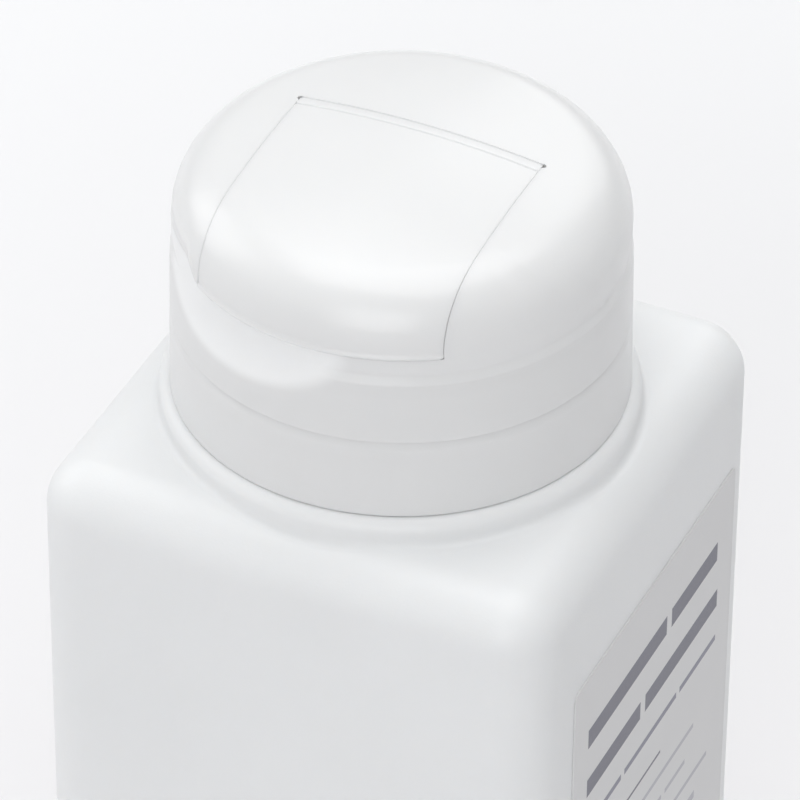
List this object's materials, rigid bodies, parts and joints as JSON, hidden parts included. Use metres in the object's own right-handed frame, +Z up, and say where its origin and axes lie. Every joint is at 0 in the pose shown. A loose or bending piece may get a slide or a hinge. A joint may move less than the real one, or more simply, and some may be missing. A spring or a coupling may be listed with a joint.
{
  "type": "powder bottle",
  "caption": "Squarish white plastic bottle for powder with a domed screw cap, a flush flip-top flap over a sprinkle insert, and a plain label on one side.",
  "frame": {"origin": "middle of the foot that the bottle stands on", "axes": "+Z up along the neck, +X out of the face with the label, -Y towards the side where the flap opens"},
  "size_m": [0.0722, 0.072, 0.1697],
  "materials": {
    "bottle_plastic": "satin, slightly translucent",
    "seal": "matte",
    "cap_plastic": "semi-gloss",
    "insert_plastic": "semi-gloss",
    "flap_plastic": "semi-gloss",
    "label_film": "matte"
  },
  "bodies": {
    "bottle": {"bottle": "bottle_plastic", "label": "label_film"},
    "seal_ring": {"seal_ring": "seal"},
    "cap": {"cap": "cap_plastic", "sprinkle_insert": "insert_plastic"},
    "flap": {"flap": "flap_plastic"}
  },
  "joints": [
    {"name": "cap_rise", "type": "slide", "parent": "bottle", "child": "seal_ring", "axis": [0, 0, 1], "range_m": [0, 0.00626]},
    {"name": "cap_turn", "type": "hinge", "parent": "seal_ring", "child": "cap", "pos_m": [0, 0, 0.1554], "axis": [0, 0, 1], "range_deg": [0, 450]},
    {"name": "flap_swing", "type": "hinge", "parent": "cap", "child": "flap", "pos_m": [0, 0.00562, 0.16963], "axis": [-1, 0, 0], "range_deg": [0, 150]}
  ],
  "couplings": [
    {"joint": "cap_rise", "follows": "cap_turn", "m_per_rad": 0.00079577}
  ]
}
